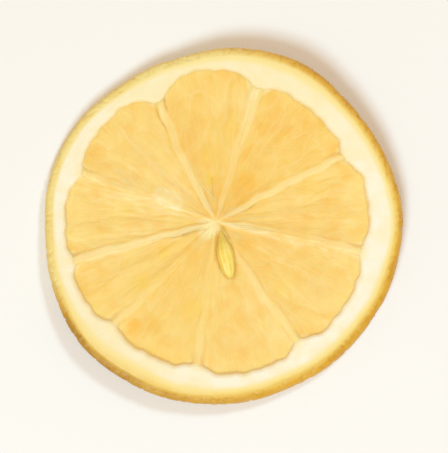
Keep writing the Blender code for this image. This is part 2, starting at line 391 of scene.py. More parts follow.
def fromCore(at):
    inner, outer = core["edge"]
    return smooth((at["radius"] - inner) / (outer - inner))


def openness(at):
    # 0 on a membrane's crest and on the core, 1 out in the flesh
    slope = np.minimum(membrane["slope"], at["width"] / membrane["slopesAcross"])
    return smooth((np.abs(at["fromCrest"]) - membrane["crest"] * at["half"]) / slope) * fromCore(at)


def rise(at):
    # how far a crest has climbed to the pith
    return smooth(1 - (at["reach"] - at["radius"]) / membrane["junction"])


def pulpSink(at):
    # how far flesh, membranes and core lie below the pith
    radius = at["radius"]
    low = fleshSink(at)
    ridge = blend(membrane["sinkAtCore"], membrane["sinkAtRim"], smooth(radius / form["rimRadius"]))
    ridge = blend(low - membrane["faintRise"], ridge, blend(membrane["faintShare"], 1, at["clear"]))
    ridge = blend(ridge + membrane["crestUnevenness"] * at["waves"], membrane["junctionSink"], rise(at))
    ridge = blend(core["sink"], ridge, fromCore(at))
    sink = blend(ridge, low, openness(at))
    return sink + flesh["tuckSink"] * smooth((radius - at["reach"]) / flesh["tuckRun"])


def yellowingAt(angle):
    # stretches where the pith has yellowed
    total = 0 * angle
    for bearing, spread, strength in pith["yellowed"]:
        away = (angle - math.radians(bearing) + math.pi) % math.tau - math.pi
        total = total + strength * np.exp(-(away / math.radians(spread)) ** 2)
    return total


def peelAt(angle, depth):
    # what the peel's colours need: depth as a share of its yellow part, and the skin's paleness and
    # brownness, which are painted light and painted shade by bearing
    table = np.array(peelBands, float)
    bearing = np.degrees(angle) % 360
    reach, pale, paintedShade = (np.interp(bearing, table[:, 0], column, period=360) for column in table[:, 1:].T)
    return {"peelShare": depth / (reach * mm), "peelPale": pale, "peelBrown": paintedShade}


def pithSink(face, angle):
    uneven = sum(np.sin(lobes * angle + phase) for lobes, phase in face["crown"])
    return pith["crown"] * pith["crownMean"] * (1 + uneven / len(face["crown"]))


# Node trees

restHeights = (0.02 * mm, 0.35 * mm)  # relief comes in between them, and what rests stays level


def addNode(tree, kind, inputs=None, **settings):
    node = tree.nodes.new(kind)
    for name, value in settings.items():
        setattr(node, name, value)
    for name, value in (inputs or {}).items():
        if isinstance(value, bpy.types.NodeSocket):
            tree.links.new(value, node.inputs[name])
        else:
            node.inputs[name].default_value = value
    return node


def calc(tree, operation, first, second=0.0):
    return addNode(tree, "ShaderNodeMath", {0: first, 1: second}, operation=operation).outputs[0]


def plus(tree, first, second):
    return calc(tree, "ADD", first, second)


def minus(tree, first, second):
    return calc(tree, "SUBTRACT", first, second)


def times(tree, first, *others):
    for other in others:
        first = calc(tree, "MULTIPLY", first, other)
    return first


def vectorCalc(tree, operation, first, second):
    return addNode(tree, "ShaderNodeVectorMath", {0: first, 1: second}, operation=operation).outputs[0]


def scaleVector(tree, vector, scale):
    return addNode(tree, "ShaderNodeVectorMath", {0: vector, "Scale": scale}, operation="SCALE").outputs[0]


def remap(tree, value, low, high, newLow=0.0, newHigh=1.0):
    inputs = {"Value": value, "From Min": low, "From Max": high, "To Min": newLow, "To Max": newHigh}
    return addNode(tree, "ShaderNodeMapRange", inputs, interpolation_type="SMOOTHSTEP").outputs[0]


def mixColour(tree, factor, first, second):
    inputs = {0: factor, 6: first, 7: second}
    return addNode(tree, "ShaderNodeMix", inputs, data_type="RGBA", clamp_factor=True).outputs[2]


def noiseAt(tree, vector, scale, detail):
    inputs = {"Vector": vector, "Scale": scale, "Detail": detail}
    return addNode(tree, "ShaderNodeTexNoise", inputs).outputs[0]


def newTree(name, kind, inputs, outputs):
    tree = bpy.data.node_groups.new(name, kind)
    for direction, sockets in (("INPUT", inputs), ("OUTPUT", outputs)):
        for label, (socketKind, value) in sockets.items():
            socketType = "NodeSocket" + socketKind
            socket = tree.interface.new_socket(label, in_out=direction, socket_type=socketType)
            if value is not None:
                socket.default_value = value
    given = tree.nodes.new("NodeGroupInput")
    result = tree.nodes.new("NodeGroupOutput")
    return tree, given.outputs, result.inputs


def keyOf(label):
    # the socket "Gland Depth" takes the value "glandDepth" of its piece
    return label[0].lower() + label[1:].replace(" ", "")


def newGeometryTree(name, piece, labels):
    sizes = {label: piece[keyOf(label)] for label in labels}
    inputs = {label: ("Int" if isinstance(size, int) else "Float", size) for label, size in sizes.items()}
    sockets = {"Geometry": ("Geometry", None), **inputs, "Material": ("Material", None)}
    return newTree(name, "GeometryNodeTree", sockets, {"Geometry": ("Geometry", None)})


def readNamed(tree, name, kind="FLOAT"):
    return addNode(tree, "GeometryNodeInputNamedAttribute", {"Name": name}, data_type=kind).outputs[0]


def storeNamed(tree, geometry, name, value):
    inputs = {"Geometry": geometry, "Name": name, "Value": value}
    kept = addNode(tree, "GeometryNodeStoreNamedAttribute", inputs, data_type="FLOAT", domain="POINT")
    return kept.outputs[0]


def liftSurface(tree, geometry, lift):
    # moves points along their normals, but not where the slice rests
    position = addNode(tree, "GeometryNodeInputPosition").outputs[0]
    height = addNode(tree, "ShaderNodeSeparateXYZ", {0: position}).outputs["Z"]
    free = remap(tree, height, *restHeights)
    normal = addNode(tree, "GeometryNodeInputNormal").outputs[0]
    offset = scaleVector(tree, normal, times(tree, lift, free))
    return addNode(tree, "GeometryNodeSetPosition", {"Geometry": geometry, "Offset": offset}).outputs[0]


def endTree(tree, geometry, given, result):
    whole = addNode(tree, "GeometryNodeRealizeInstances", {"Geometry": geometry}).outputs[0]
    dressed = addNode(tree, "GeometryNodeSetMaterial", {"Geometry": whole, "Material": given["Material"]})
    tree.links.new(dressed.outputs[0], result["Geometry"])
    return tree


def applyTree(item, tree, piece, material):
    # runs a tree on a piece and keeps the result as its plain mesh
    modifier = item.modifiers.new(tree.name, "NODES")
    modifier.node_group = tree
    values = {**piece, "material": material}
    for socket in tree.interface.items_tree:
        if socket.in_out == "INPUT" and keyOf(socket.name) in values:
            modifier[socket.identifier] = values[keyOf(socket.name)]
    graph = bpy.context.evaluated_depsgraph_get()
    mesh = bpy.data.meshes.new_from_object(
        item.evaluated_get(graph), preserve_all_data_layers=True, depsgraph=graph
    )
    item.modifiers.clear()
    before = item.data
    item.data = mesh
    bpy.data.meshes.remove(before)
    mesh.name = item.name
    mesh.shade_smooth()
    return item


# Meshes

def meshObject(name, points, edges, faces, attributes):
    mesh = bpy.data.meshes.new(name)
    mesh.from_pydata(points.tolist(), edges, faces)
    for label, values in attributes.items():
        vector = values.ndim == 2
        layer = mesh.attributes.new(label, "FLOAT_VECTOR" if vector else "FLOAT", "POINT")
        layer.data.foreach_set("vector" if vector else "value", values.astype(np.float32).ravel())
    mesh.shade_smooth()
    item = bpy.data.objects.new(name, mesh)
    bpy.context.scene.collection.objects.link(item)
    return item


def ringBody(name, rings, attributes, closed):
    # A body from rings of points, each counter-clockwise. In order they run over the top outwards, down,
    # and back in below. It is either closed on itself, as a ring is, or has a pole at each end.
    rows, columns = rings.shape[:2]
    number = np.arange(rows * columns).reshape(rows, columns)
    following = np.roll(number, -1, 0)
    if not closed:
        number, following = number[:-1], following[:-1]
    quads = np.stack([number, following, np.roll(following, -1, 1), np.roll(number, -1, 1)], -1)
    faces = quads.reshape(-1, 4).tolist()
    points = rings.reshape(-1, 3)
    values = {label: grid.reshape(-1, *grid.shape[2:]) for label, grid in attributes.items()}
    if not closed:
        top, under = rows * columns, rows * columns + 1
        last = (rows - 1) * columns
        points = np.vstack([points, rings[0].mean(0), rings[-1].mean(0)])
        for label, grid in attributes.items():
            values[label] = np.concatenate([values[label], grid[:1].mean(1), grid[-1:].mean(1)])
        for column in range(columns):
            beside = (column + 1) % columns
            faces.append([top, column, beside])
            faces.append([under, last + beside, last + column])
    return meshObject(name, points, [], faces, values)


def wheelColumns(perSegment, crowding):
    # segment and place across it of every column round the wheel, closer together beside the membranes
    part = np.arange(perSegment) / perSegment
    part = part - crowding * np.sin(math.tau * part)
    return np.repeat(np.arange(count), perSegment), np.tile(part, count)


# Pulp: flesh, membranes and core, one thin sheet of two relieved faces

pulp = {
    "columns": 70,  # in a segment
    "crowding": 0.05,  # of the columns towards the membranes
    "firstRing": 0.6,  # its radius, as a share of the rings' spacing
    "topRows": 100,
    "underRows": 52,
    "innerRadius": 22.3 * mm,
    "followFrom": 0.70,  # share of the radius from which its rings follow the pith's edge
    "tuck": 0.45 * mm,  # how far it runs on inside the pith
    "sacsAcross": 4.2,  # in a segment's width
    "sacsAtCore": 0.34,  # share of those that reach in to the core
    "sacsFanOut": 15 * mm,
    "sacsAlong": 3.0,
    "underShift": 7.3,  # along the pattern, so that the underside has other sacs
    "sacRelief": 0.10 * mm,
    "foldRelief": 0.05 * mm,
    "waviness": 1.05,
    "warpScale": 1.1,
    "dome": (0.0, 0.30),  # distances from a cell's border over which a sac rises
    "hollow": (0.0, 0.75, 0.35, 0.0),  # the same from its middle, and how far it falls in there
    "sacLevel": 0.55,  # taken off, so that the relief stays about the surface
    "foldStretch": (3.4, 1.1, 1.0),  # across and along the sacs
    "reliefFromPith": 0.7 * mm,  # lengths over which the sacs' relief comes in
    "reliefFromCore": 6 * mm,
    "toneRun": 1.3 * mm,  # over which a segment's tone passes to the next one's
    "coreRun": 5 * mm,  # over which the flesh lightens out from the core
}
segmentTone = np.array((0.95, 0.70, 0.32, 0.00, 0.44, 0.66, 0.14, 0.24, 0.50))  # 0 pale, 1 golden
warmSpots = (  # where the juice has browned to orange: x, y, radius in mm from the core, strength
    (4.5, 6.0, 1.9, 1.0),
    (3.4, 4.6, 1.3, 0.7),
    (4.4, -3.3, 1.6, 0.9),
    (17.4, 10.4, 1.7, 0.7),
    (18.6, 6.8, 1.3, 0.5),
    (-11.9, -15.2, 1.6, 0.8),
    (-17.4, 4.6, 1.4, 0.55),
    (0.6, 4.4, 1.4, 0.5),
    (-7.2, 5.6, 1.3, 0.45),
    (-3.4, -4.6, 1.5, 0.55),
    (-17.2, 10.4, 1.4, 0.5),
    (18.2, -7.2, 1.3, 0.5),
    (3.4, -19.4, 1.6, 0.5),
    (6.5, 19.4, 1.4, 0.3),
)
sunnySpots = (  # purer yellow patches, in the same way
    (-1.1, 6.2, 1.5, 0.9),
    (-0.8, 9.6, 1.8, 0.5),
    (-7.7, -4.4, 1.4, 0.7),
    (-10.8, -8.6, 2.0, 0.7),
    (-3.2, -12.6, 2.4, 0.6),
    (-13.5, 1.2, 2.2, 0.6),
    (9.8, -9.6, 2.2, 0.4),
    (2.6, 13.4, 2.6, 0.4),
    (13.6, 5.2, 2.2, 0.4),
)
creamSpots = (  # lighter, drier patches, in the same way
    (-7.0, 3.6, 3.6, 0.45),
    (-12.5, 6.2, 2.8, 0.30),
    (-11.0, -2.0, 4.0, 0.28),
    (-16.0, -4.6, 2.6, 0.25),
    (2.4, -17.4, 2.8, 0.28),
    (14.2, -10.0, 2.8, 0.25),
    (8.6, -16.8, 2.4, 0.20),
    (10.0, 1.6, 3.4, 0.16),
    (4.6, -12.4, 2.4, 0.16),
    (1.6, 17.0, 2.4, 0.14),
)
darkSides = (  # thin brown lines beside membranes: segment, side, from and to radius in mm, strength
    (4, 1, 1.8, 8.0, 0.75),
    (8, -1, 2.2, 7.0, 0.65),
    (1, -1, 17.0, 20.5, 0.55),
    (2, 1, 14.5, 19.5, 0.55),
    (2, 1, 2.5, 5.0, 0.35),
    (7, 1, 1.6, 4.5, 0.60),
    (3, 1, 3.0, 6.0, 0.35),
)
foldShadeLines = (  # painted shade in short folds of the flesh: from x, y to x, y in mm from the core, half width, strength
    (1.0, -0.7, 2.1, -2.6, 0.20, 0.75),
    (2.1, -2.6, 2.9, -6.2, 0.16, 0.50),
    (-0.1, -2.2, -0.2, -5.6, 0.15, 0.40),
    (-4.9, -2.1, -1.6, -1.0, 0.18, 0.45),
    (5.2, 1.2, 2.6, 0.8, 0.18, 0.40),
    (-0.6, 6.4, -0.4, 3.8, 0.20, 0.30),
)
web = {  # the pale skin of the membranes and the core
    "softness": 0.28 * mm,
    "fadeShare": 1.6,  # of the softness, over which a membrane's edge fades
    "band": 0.84,  # strength between its sides, and added along them
    "side": 0.12,
    "sideWidth": 0.13 * mm,
    "flare": 0.85,  # strength where it widens into the pith
    "flareWidth": 1.4 * mm,
    "flareFade": 0.7 * mm,
    "flareClear": 0.5,  # how clearly even a faint membrane shows there
    "core": 0.9,
    "coreRadius": 1.45 * mm,
    "coreWaves": ((2, 0.6, 0.30 * mm), (5, 0.0, 0.18 * mm)),  # lobes, phase, height
    "coreSoftness": 0.7 * mm,
    "coreFade": 1.2 * mm,
}
shadeLines = {  # the thin dark lines: brown lines beside membranes, and painted shade in folds and round the seed
    "besideMembrane": 0.16 * mm,
    "width": 0.15 * mm,
    "ends": 1.4,  # how fast a line fades at its two ends
    "besideSeed": 0.05 * mm,
    "seedWidth": 0.20 * mm,
    "seedStrength": (0.30, 0.18),  # painted shade round the seed: all round, and more on one side by this
}
hiddenSeedLook = (2.8, 0.85)  # how fast its pale colour comes in, and its strength
spotEdge = 1.15  # radii at which a spot has faded out
edgeLineAndShade = (0.25 * mm, 0.30 * mm, 0.8)  # at the pith, a line that is partly the flesh's own darker rim and partly painted shade of the step down from the pith: start, fade, and how far a membrane hides it


def webMask(at):
    # how much of the membranes' pale colour shows: a band, brighter along its two sides, and the core
    inner = np.abs(at["fromCrest"])
    soft = web["softness"]
    band = smooth((at["half"] + soft - inner) / (web["fadeShare"] * soft))
    sides = np.exp(-((inner - at["half"]) / web["sideWidth"]) ** 2)
    climb = rise(at)
    flare = smooth((at["half"] + web["flareWidth"] * climb - inner) / web["flareFade"]) * climb
    flare = web["flare"] * flare * np.maximum(at["clear"], web["flareClear"])
    skin = np.maximum(at["clear"] * (web["band"] * band + web["side"] * sides), flare)
    waves = sum(height * np.sin(lobes * at["angle"] + phase) for lobes, phase, height in web["coreWaves"])
    fromPatch = np.hypot(at["x"] - core["patch"][0], at["y"] - core["patch"][1])
    edge = web["coreRadius"] + waves + web["coreSoftness"]
    return np.clip(np.maximum(skin, web["core"] * smooth((edge - fromPatch) / web["coreFade"])), 0, 1)


def fromLine(x, y, start, end):
    dx, dy = end[0] - start[0], end[1] - start[1]
    share = np.clip(((x - start[0]) * dx + (y - start[1]) * dy) / (dx * dx + dy * dy), 0, 1)
    return np.hypot(x - start[0] - share * dx, y - start[1] - share * dy)


def shadeMask(at):
    # brown lines beside some membranes, and painted shade in folds of the flesh and in the groove round the
    # seed
    lines = shadeLines
    total = np.zeros(at["radius"].shape)
    for segment, side, low, high, strength in darkSides:
        away = side * at["fromCrest"]
        beside = (away - (at["half"] + lines["besideMembrane"])) / lines["width"]
        shown = strength * (at["segment"] == segment) * (away > 0)
        middle, reach = (low + high) / 2 * mm, (high - low) / 2 * mm
        ends = smooth(lines["ends"] * (1 - np.abs(at["radius"] - middle) / reach))
        total = np.maximum(total, shown * np.exp(-beside ** 2) * ends)
    if at["face"]["side"] > 0:
        # painted shade in folds of the flesh
        for fromX, fromY, toX, toY, width, strength in foldShadeLines:
            away = fromLine(at["x"] / mm, at["y"] / mm, (fromX, fromY), (toX, toY))
            total = np.maximum(total, strength * np.exp(-(away / width) ** 2))
        # painted shade in the groove round the seed, darker on one side
        _, sideways = turned(at["x"], at["y"], seed["centre"], seed["bearing"])
        beside = (fromSeed(at["x"], at["y"]) - lines["besideSeed"]) / lines["seedWidth"]
        allRound, oneSide = lines["seedStrength"]
        total = np.maximum(total, np.exp(-beside ** 2) * (allRound + oneSide * np.sign(sideways)))
    return total


def spotMask(at, spots):
    total = np.zeros(at["radius"].shape)
    for x, y, size, strength in spots:
        away = np.hypot(at["x"] - x * mm, at["y"] - y * mm) / (size * mm)
        total = np.maximum(total, strength * smooth(spotEdge - away))
    return total


def paleMask(at):
    rate, strength = hiddenSeedLook
    swelling = strength * smooth(rate * hiddenSeedAt(at["x"], at["y"]))
    return np.maximum(swelling, spotMask(at, creamSpots))


def edgeLineAndShadeMask(at, toPith):
    # a darker line where the flesh meets the pith, partly its own colour and partly painted shade below the
    # pith's step, but not where a membrane does
    start, fade, hidden = edgeLineAndShade
    line = np.exp(-np.maximum(toPith - start, 0) / fade)
    return line * (1 - hidden * rise(at) * (1 - openness(at)))


def pulpFace(face, rows):
    # points of one face in rings out from the core, and what the material reads at them
    segment, across = wheelColumns(pulp["columns"], pulp["crowding"])
    share = (np.arange(rows) + pulp["firstRing"])[:, None] / (rows - 1 + pulp["firstRing"])
    outer = fleshReach(segment, across) + pulp["tuck"]
    follow = smooth((share - pulp["followFrom"]) / (1 - pulp["followFrom"]))
    radius = share * blend(pulp["innerRadius"], outer, follow)
    at = onFace(face, segment, across, radius)
    points = place(at["x"], at["y"], face["side"] * (form["halfThickness"] - pulpSink(at)))
    toPith = at["reach"] - radius
    free = openness(at) * smooth(toPith / pulp["reliefFromPith"])
    free = free * smooth((radius - flesh["start"]) / pulp["reliefFromCore"])
    inner = np.minimum(across, 1 - across) * at["width"]
    beside = np.where(across < 0.5, segment - 1, segment + 1) % count
    shared = (segmentTone[segment] + segmentTone[beside]) / 2
    above = 1.0 if face["side"] > 0 else 0.0
    fan = blend(pulp["sacsAtCore"], 1.0, smooth(radius / pulp["sacsFanOut"]))
    sacs = (
        (segment + 0.5 + (across - 0.5) * fan) * pulp["sacsAcross"],
        at["along"] * pulp["sacsAlong"],
        pulp["underShift"] * (1 - above) + 0 * radius,
    )
    values = {
        "sacPlace": np.stack(sacs, -1),
        "sacFree": free,
        "web": webMask(at),
        "warm": spotMask(at, warmSpots) * above,
        "sunny": spotMask(at, sunnySpots) * above,
        "pale": paleMask(at) * above,
        "shade": shadeMask(at),
        "edge": edgeLineAndShadeMask(at, toPith),
        "tone": blend(shared, segmentTone[segment], smooth(inner / pulp["toneRun"])),
        "toCore": np.exp(-radius / pulp["coreRun"]),
    }
    return points, values


def makePulp(material, tree):
    top, topValues = pulpFace(topFace, pulp["topRows"])
    under, underValues = pulpFace(underFace, pulp["underRows"])
    rings = np.concatenate([top, under[::-1]])
    values = {label: np.concatenate([topValues[label], underValues[label][::-1]]) for label in topValues}
    item = ringBody("flesh_and_membranes", rings, values, closed=False)
    return applyTree(item, tree, pulp, material)


def sacPattern(tree, spot, waviness):
    # long cells, one for each juice sac, the same in the mesh and in the material
    inputs = {"Vector": spot, "Scale": pulp["warpScale"], "Detail": 2.0}
    warp = addNode(tree, "ShaderNodeTexNoise", inputs).outputs["Color"]
    shift = scaleVector(tree, vectorCalc(tree, "SUBTRACT", warp, (0.5, 0.5, 0.5)), waviness)
    moved = vectorCalc(tree, "ADD", spot, shift)
    inputs = {"Vector": moved, "Scale": 1.0}
    cells = addNode(tree, "ShaderNodeTexVoronoi", inputs)
    borders = addNode(tree, "ShaderNodeTexVoronoi", inputs, feature="DISTANCE_TO_EDGE")
    return cells.outputs["Distance"], cells.outputs["Color"], borders.outputs["Distance"], moved


def juiceSacTree():
    # lifts the flesh into long collapsed juice sacs with finer folds along them
    labels = ("Sac Relief", "Fold Relief", "Waviness")
    tree, given, result = newGeometryTree("Juice sac relief", pulp, labels)
    spot = readNamed(tree, "sacPlace", "FLOAT_VECTOR")
    free = readNamed(tree, "sacFree")
    distance, _, border, moved = sacPattern(tree, spot, given["Waviness"])
    dome = remap(tree, border, *pulp["dome"])
    hollow = remap(tree, distance, *pulp["hollow"])
    height = minus(tree, minus(tree, dome, hollow), pulp["sacLevel"])
    folds = noiseAt(tree, vectorCalc(tree, "MULTIPLY", moved, pulp["foldStretch"]), 1.0, 2.0)
    fold = times(tree, minus(tree, folds, 0.5), given["Fold Relief"])
    lift = plus(tree, times(tree, height, given["Sac Relief"]), fold)
    raised = liftSurface(tree, given["Geometry"], times(tree, lift, free))
    return endTree(tree, raised, given, result)


# Pith ring, its inner edge scalloped round the segments

pithRing = {
    "columns": 84,
    "crowding": 0.06,
    "lipRun": 0.42 * mm,  # slope from its inner edge down to below the flesh
    "lipDepth": 0.22 * mm,
    "lipCurve": 1.6,
    "tipShare": 0.10,  # part of a segment beside a membrane that has the membrane's colour
    "rindOverlap": 0.42 * mm,  # how far it runs on under the rind
    "overlapSink": 0.45 * mm,
    "rows": {"lip": 8, "shoulder": 6, "crown": 17, "overlap": 3, "wall": 5},
    "relief": 0.07 * mm,
    "reliefLevel": 0.75,  # taken off, so that the relief goes inwards
    "lumpSize": 1.1 * mm,
    "poreRate": 2.6,  # pores for each lump
    "pore": (0.0, 0.34, -0.45, 0.0),  # distances from its middle, and how deep it is there
}


def pithFace(face):
    # one face of the pith, from below the flesh's surface outwards
    segment, across = wheelColumns(pithRing["columns"], pithRing["crowding"])
    steps = pithRing["rows"]
    edge = fleshReach(segment, across)
    start, span = segmentSpan(segment, edge)
    angle = start + span * across
    outer = outlineRadius(angle) - wallLean(angle, face["side"]) - form["edgeRoll"]
    shoulder = np.minimum(edge + pith["shoulder"], blend(edge, outer, pith["shoulderShare"]))
    crown = pithSink(face, angle) * (face["side"] > 0)
    foot = onFace(face, segment, across, (edge - pithRing["lipRun"])[None, :])
    low = pulpSink(foot)[0] + pithRing["lipDepth"]
    rings = []
    for step in range(steps["lip"]):
        share = step / steps["lip"]
        sink = blend(low, pith["innerEdgeSink"] + crown, 1 - (1 - share) ** pithRing["lipCurve"])
        rings.append((edge - pithRing["lipRun"] * (1 - share), sink))
    for step in range(steps["shoulder"]):
        share = step / steps["shoulder"]
        sink = blend(pith["innerEdgeSink"], 0, math.sin(share * math.pi / 2)) + crown
        rings.append((blend(edge, shoulder, share), sink))
    for step in range(steps["crown"]):
        share = step / steps["crown"]
        rings.append((blend(shoulder, outer, share), crown * (1 - smooth(share))))
    for step in range(steps["overlap"] + 1):
        share = step / steps["overlap"]
        rings.append((outer + pithRing["rindOverlap"] * share, pithRing["overlapSink"] * share + 0 * crown))
    radius, sink = np.array(rings).swapaxes(0, 1)
    start, span = segmentSpan(segment, radius)
    height = face["side"] * (form["halfThickness"] - sink)
    return radius, start + span * across, height, edge + 0 * radius, outer + form["edgeRoll"] - radius


def makePith(material, tree):
    share = (np.arange(1, pithRing["rows"]["wall"]) / pithRing["rows"]["wall"])[:, None]
    radius, angle, height, edge, depth = (
        np.concatenate([top, blend(top[-1], under[-1], share), under[::-1]])
        for top, under in zip(pithFace(topFace), pithFace(underFace))
    )
    rings = place(radius * np.cos(angle), radius * np.sin(angle), height)
    _, across = wheelColumns(pithRing["columns"], pithRing["crowding"])
    values = {
        **peelAt(angle, depth),
        "fromEdge": radius - edge,
        "nearSeptum": smooth(1 - np.minimum(across, 1 - across) / pithRing["tipShare"]) + 0 * radius,
        "yellowing": yellowingAt(angle),
    }
    item = ringBody("pith_ring", rings, values, closed=True)
    return applyTree(item, tree, pithRing, material)


def spongeTree():
    # soft lumps and pores of the dried pith
    tree, given, result = newGeometryTree("Pith relief", pithRing, ("Relief", "Lump Size"))
    position = addNode(tree, "GeometryNodeInputPosition").outputs[0]
    rate = calc(tree, "DIVIDE", 1.0, given["Lump Size"])
    lumps = noiseAt(tree, position, rate, 3.0)
    finer = times(tree, rate, pithRing["poreRate"])
    pores = addNode(tree, "ShaderNodeTexVoronoi", {"Vector": position, "Scale": finer}).outputs["Distance"]
    pore = remap(tree, pores, *pithRing["pore"])
    lift = plus(tree, minus(tree, lumps, pithRing["reliefLevel"]), pore)
    raised = liftSurface(tree, given["Geometry"], times(tree, lift, given["Relief"]))
    return endTree(tree, raised, given, result)


# Rind: the coloured skin round the edge, with its oil glands

rind = {
    "columns": 1100,
    "wallSteps": 30,
    "inset": 0.02 * mm,  # keeps its relief inside the outline
    "lap": 0.16 * mm,  # how far it laps over the pith
    "lapSink": 0.06 * mm,
    "thickness": 1.0 * mm,
    "backLevels": (-0.6, -0.2, 0.2, 0.6),  # of its inner wall, as shares of the half thickness
    "skinFade": 0.3 * mm,  # over which its relief ends towards the cut faces
    "glandSpacing": 0.8 * mm,
    "glandDepth": 0.085 * mm,
    "gland": (0.05, 0.48, 1.0, 0.0),  # distances from its middle, and its pit's share of the depth there
    "glandSmoothness": 0.25,
    "creaseSpacing": 3.2 * mm,
    "creaseDepth": 0.13 * mm,
    "crease": (0.0, 0.05, 1.0, 0.0),  # the same from a crease's line
    "upStretch": 0.35,  # creases run up the wall
    "wrinkleDepth": 0.16 * mm,
    "wrinkleLevel": 0.75,  # taken off, so that the wrinkles go inwards
    "wrinkleRate": 0.6,  # of the creases' rate
}


def rindProfile():
    # the skin's section from above, as (inset from the outline, height share, whether it is outer skin)
    roll = form["edgeRoll"]
    lapLevel = 1 - rind["lapSink"] / form["halfThickness"]
    section = [(roll + rind["lap"], lapLevel, 0.0)]
    for step in range(rind["wallSteps"] + 1):
        up = math.radians(90 - 180 * step / rind["wallSteps"])
        inset = roll * (1 - max(math.cos(up), 0) ** form["edgeSquareness"])
        level = math.copysign(abs(math.sin(up)) ** form["edgeSquareness"], up)
        section.append((inset, level, 1.0))
    section.append((roll + rind["lap"], -lapLevel, 0.0))
    for level in rind["backLevels"]:
        section.append((rind["thickness"], level, 0.0))
    return section


def makeRind(material, tree):
    angle = np.linspace(0, math.tau, rind["columns"], endpoint=False)
    rings, depth, skin = [], [], []
    for inset, level, outside in rindProfile():
        radius = outlineRadius(angle) - wallLean(angle, level) - inset - rind["inset"] * outside
        height = level * form["halfThickness"] + 0 * angle
        rings.append(place(radius * np.cos(angle), radius * np.sin(angle), height))
        depth.append(inset + 0 * angle)
        skin.append(outside * smooth((form["edgeRoll"] - inset) / rind["skinFade"]) + 0 * angle)
    bearing = np.tile(angle, (len(rings), 1))
    values = {**peelAt(bearing, np.array(depth)), "skin": np.array(skin)}
    item = ringBody("rind", np.array(rings), values, closed=True)
    return applyTree(item, tree, rind, material)


def oilGlandTree():
    # pits over the oil glands, and the dried skin's creases and slower unevenness, which run up the wall
    labels = ("Gland Spacing", "Gland Depth", "Crease Spacing", "Crease Depth", "Wrinkle Depth")
    tree, given, result = newGeometryTree("Oil glands", rind, labels)
    position = addNode(tree, "GeometryNodeInputPosition").outputs[0]
    rate = calc(tree, "DIVIDE", 1.0, given["Gland Spacing"])
    inputs = {"Vector": position, "Scale": rate, "Smoothness": rind["glandSmoothness"]}
    cells = addNode(tree, "ShaderNodeTexVoronoi", inputs, feature="SMOOTH_F1").outputs["Distance"]
    pit = remap(tree, cells, *rind["gland"])
    upright = vectorCalc(tree, "MULTIPLY", position, (1.0, 1.0, rind["upStretch"]))
    rate = calc(tree, "DIVIDE", 1.0, given["Crease Spacing"])
    folds = noiseAt(tree, upright, rate, 3.0)
    away = calc(tree, "ABSOLUTE", minus(tree, folds, 0.5))
    crease = remap(tree, away, *rind["crease"])
    slow = noiseAt(tree, upright, times(tree, rate, rind["wrinkleRate"]), 2.0)
    down = times(tree, pit, given["Gland Depth"], -1.0)
    cut = times(tree, crease, given["Crease Depth"], -1.0)
    wave = times(tree, minus(tree, slow, rind["wrinkleLevel"]), given["Wrinkle Depth"])
    lift = plus(tree, plus(tree, down, cut), wave)
    lift = times(tree, lift, readNamed(tree, "skin"))
    raised = liftSurface(tree, given["Geometry"], calc(tree, "MINIMUM", lift, 0.0))
    kept = storeNamed(tree, raised, "gland", pit)
    return endTree(tree, storeNamed(tree, kept, "crease", crease), given, result)


# Seed: a slim ribbed drop with its point towards the core, half sunk in the flesh

def makeSeed(material, tree):
    item = meshObject("seed", np.zeros((1, 3)), [], [], {})
    applyTree(item, tree, seed, material)
    middle = place(*(np.array([value]) for value in (*seed["centre"], seed["level"])))[0]
    turn = Matrix.Rotation(math.radians(seed["bearing"]), 4, "Z")
    item.data.transform(Matrix.Translation(Vector(middle)) @ turn)
    return item


def seedTree():
    # a drop along X with its point at -X, from a sphere of unit radius
    labels = ("Length", "Width", "Height", "Taper", "Ribs", "Rib Depth", "Twist", "Unevenness")
    tree, given, result = newGeometryTree("Ribbed seed", seed, labels)
    inputs = {"Segments": seed["meridians"], "Rings": seed["rings"], "Radius": 1.0}
    ball = addNode(tree, "GeometryNodeMeshUVSphere", inputs).outputs["Mesh"]
    position = addNode(tree, "GeometryNodeInputPosition").outputs[0]
    split = addNode(tree, "ShaderNodeSeparateXYZ", {0: position}).outputs
    narrowing = times(tree, remap(tree, split["Z"], 0.0, 1.0), given["Taper"])
    narrow = minus(tree, 1.0, narrowing)
    around = calc(tree, "ARCTAN2", split["Y"], split["X"])
    twist = times(tree, split["Z"], given["Twist"])
    rib = calc(tree, "COSINE", plus(tree, times(tree, around, given["Ribs"]), twist))
    lumps = minus(tree, noiseAt(tree, position, seed["lumpScale"], 2.0), 0.5)
    uneven = times(tree, lumps, given["Unevenness"])
    swell = plus(tree, times(tree, rib, given["Rib Depth"]), plus(tree, uneven, 1.0))
    girth = times(tree, narrow, swell)
    half = {name: times(tree, given[name], 0.5) for name in ("Length", "Width", "Height")}
    forwards = times(tree, split["Z"], -1.0, half["Length"])
    sideways = times(tree, split["Y"], girth, half["Width"])
    upwards = times(tree, split["X"], girth, half["Height"])
    drop = addNode(tree, "ShaderNodeCombineXYZ", {"X": forwards, "Y": sideways, "Z": upwards}).outputs[0]
    kept = storeNamed(tree, ball, "ribLine", rib)
    kept = storeNamed(tree, kept, "seedUp", split["X"])
    kept = storeNamed(tree, kept, "seedAlong", split["Z"])
    shaped = addNode(tree, "GeometryNodeSetPosition", {"Geometry": kept, "Position": drop}).outputs[0]
    return endTree(tree, shaped, given, result)


# Fibres: fine pale threads that run out from the core over the flesh

